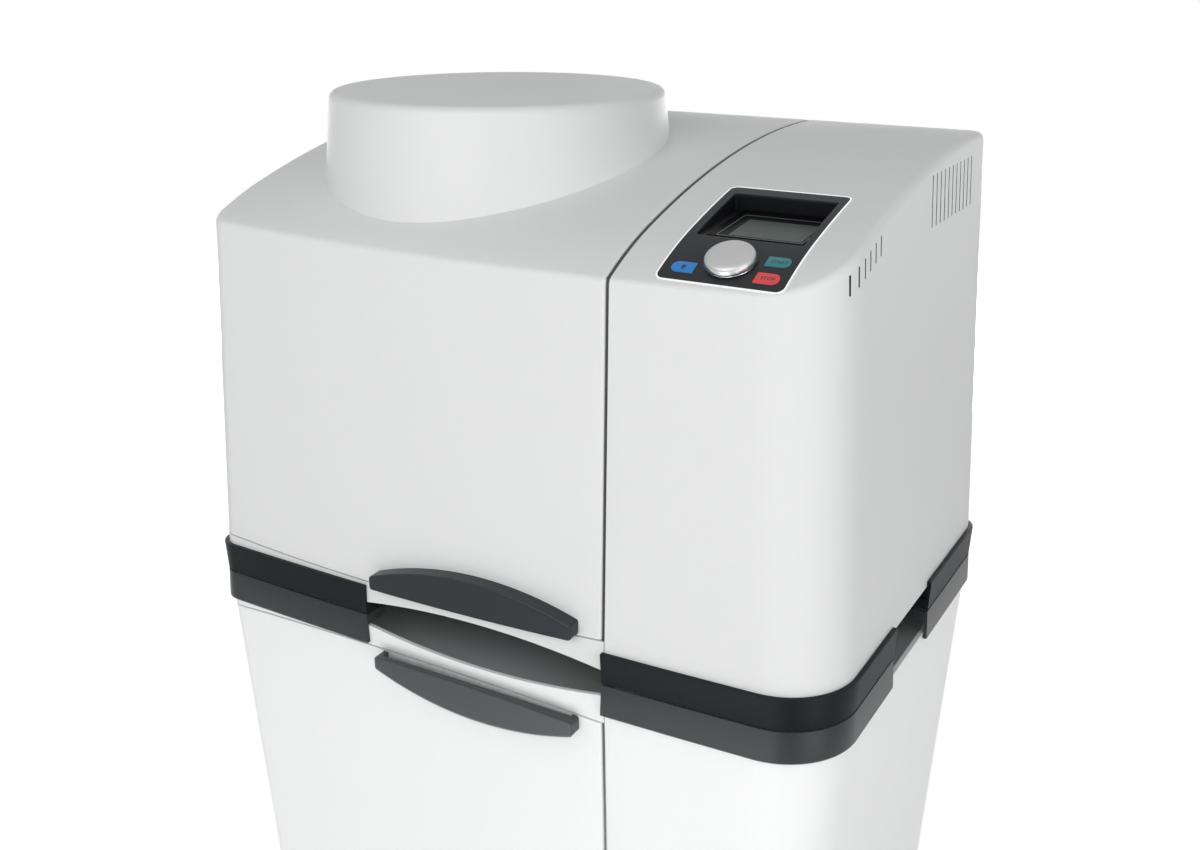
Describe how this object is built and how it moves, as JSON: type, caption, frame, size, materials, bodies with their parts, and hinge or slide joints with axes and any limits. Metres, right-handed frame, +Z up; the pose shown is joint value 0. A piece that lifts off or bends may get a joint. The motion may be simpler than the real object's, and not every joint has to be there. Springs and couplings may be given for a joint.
{
  "type": "planetary ball mill",
  "caption": "Bench planetary ball mill: domed lift-up hood over a counter-rotating jar station, with a fixed control side, belt drive, turn knob and keys.",
  "frame": {"origin": "centre of the footprint on the bench, at the lowest point of the feet", "axes": "+Z up, -Y the front with the handle, +X the control side"},
  "size_m": [0.6394, 0.4359, 0.456],
  "materials": {
    "casing": "fine orange-peel light grey paint",
    "trim": "dark charcoal moulded plastic, faint sheen",
    "rubber": "matt black",
    "steel_plate": "grey powder coat",
    "chamber": "dark grey structured",
    "stainless": "brushed stainless",
    "bearing_steel": "ground steel",
    "cast_aluminium": "machined",
    "cast_iron": "painted cast iron",
    "belt": "ribbed belt",
    "motor_grey": "grey-blue enamel",
    "bezel": "charcoal film, fine texture",
    "glass": "grey-green display",
    "knob": "satin silver",
    "blue": "blue key",
    "green": "teal key",
    "red": "red key",
    "black_plastic": "black plastic",
    "board": "green circuit board",
    "seal": "soft seal"
  },
  "bodies": {
    "base": {"base_plate": "steel_plate", "base_rim": "casing", "side_housing": "casing", "rear_cover": "casing", "rear_panel": "casing", "front_left_skirt": "trim", "front_right_skirt": "trim", "rear_left_skirt": "trim", "rear_right_skirt": "trim", "rubber_feet": "rubber", "chamber_body": "chamber", "chamber_basin": "stainless", "chamber_seal": "seal", "bearing_bridge": "steel_plate", "bearing_housing": "cast_iron", "main_bearings": "bearing_steel", "fixed_pulley": "cast_aluminium", "drive_belt": "belt", "motor_bracket": "steel_plate", "motor": "motor_grey", "drive_unit": "cast_aluminium", "hinge_brackets": "steel_plate", "hinge_pins": "bearing_steel", "lock_body": "black_plastic", "panel_bezel": "bezel", "display_glass": "glass", "control_board": "board", "fan_frame": "black_plastic", "fan_guard": "bearing_steel", "power_inlet": "black_plastic", "switch_frame": "black_plastic"},
    "hood": {"hood": "casing", "hood_handle": "trim", "hinge_arms": "steel_plate", "lock_striker": "bearing_steel"},
    "sun": {"main_shaft": "bearing_steel", "main_pulley": "cast_aluminium", "sun_wheel": "cast_iron", "counterweight": "cast_iron", "planet_bearing": "bearing_steel", "planet_belt": "belt"},
    "planet": {"planet_shaft": "bearing_steel", "planet_pulley": "cast_aluminium", "jar_holder": "cast_aluminium", "grinding_jar": "stainless", "jar_seal": "seal", "jar_lid": "stainless", "grinding_balls": "bearing_steel", "clamp_bridge": "stainless"},
    "pad": {"pressure_pad": "bearing_steel"},
    "clamp_screw": {"clamp_screw": "stainless"},
    "motor_rotor": {"motor_shaft": "bearing_steel", "motor_pulley": "cast_aluminium"},
    "fan_rotor": {"fan_rotor": "black_plastic"},
    "turn_knob": {"turn_knob": "knob"},
    "key_light": {"key_light": "blue"},
    "key_start": {"key_start": "green"},
    "key_stop": {"key_stop": "red"},
    "lock_bolt": {"lock_bolt": "bearing_steel"},
    "switch_rocker": {"switch_rocker": "black_plastic"}
  },
  "joints": [
    {"name": "hood_hinge", "type": "hinge", "parent": "base", "child": "hood", "pos_m": [0, 0.1935, 0.396], "axis": [-1, 0, 0], "range_deg": [0, 75]},
    {"name": "sun_spin", "type": "hinge", "parent": "base", "child": "sun", "pos_m": [-0.106, 0, 0.146], "axis": [0, 0, 1], "continuous": true},
    {"name": "planet_spin", "type": "hinge", "parent": "sun", "child": "planet", "pos_m": [-0.106, -0.0705, 0.146], "axis": [0, 0, 1], "continuous": true},
    {"name": "motor_spin", "type": "hinge", "parent": "base", "child": "motor_rotor", "pos_m": [0.206, 0, 0.05], "axis": [0, 0, 1], "continuous": true},
    {"name": "clamp_lift", "type": "slide", "parent": "planet", "child": "pad", "axis": [0, 0, 1], "range_m": [0, 0.005]},
    {"name": "clamp_turn", "type": "hinge", "parent": "pad", "child": "clamp_screw", "pos_m": [-0.106, -0.0705, 0.3], "axis": [0, 0, 1], "range_deg": [0, 720]},
    {"name": "fan_spin", "type": "hinge", "parent": "base", "child": "fan_rotor", "pos_m": [0.199, 0.19, 0.262], "axis": [0, 1, 0], "continuous": true},
    {"name": "knob_turn", "type": "hinge", "parent": "base", "child": "turn_knob", "pos_m": [0.207, -0.165, 0.35922], "axis": [0, -0.4041, 0.9147], "continuous": true},
    {"name": "lock_slide", "type": "slide", "parent": "base", "child": "lock_bolt", "axis": [0, -1, 0], "range_m": [0, 0.008]},
    {"name": "rocker_tilt", "type": "hinge", "parent": "base", "child": "switch_rocker", "pos_m": [0.228, 0.2085, 0.092], "axis": [1, 0, 0], "range_deg": [-8, 8]},
    {"name": "key_light_press", "type": "slide", "parent": "base", "child": "key_light", "axis": [0, 0.4344, -0.9007], "range_m": [0, 0.001], "stiffness_N_per_m": 600},
    {"name": "key_start_press", "type": "slide", "parent": "base", "child": "key_start", "axis": [0, 0.3828, -0.9238], "range_m": [0, 0.001], "stiffness_N_per_m": 600},
    {"name": "key_stop_press", "type": "slide", "parent": "base", "child": "key_stop", "axis": [0, 0.4389, -0.8985], "range_m": [0, 0.001], "stiffness_N_per_m": 600}
  ],
  "couplings": [
    {"joint": "planet_spin", "follows": "sun_spin", "ratio": -2},
    {"joint": "motor_spin", "follows": "sun_spin", "ratio": 2},
    {"joint": "clamp_turn", "follows": "clamp_lift", "rad_per_m": 2513.3}
  ]
}
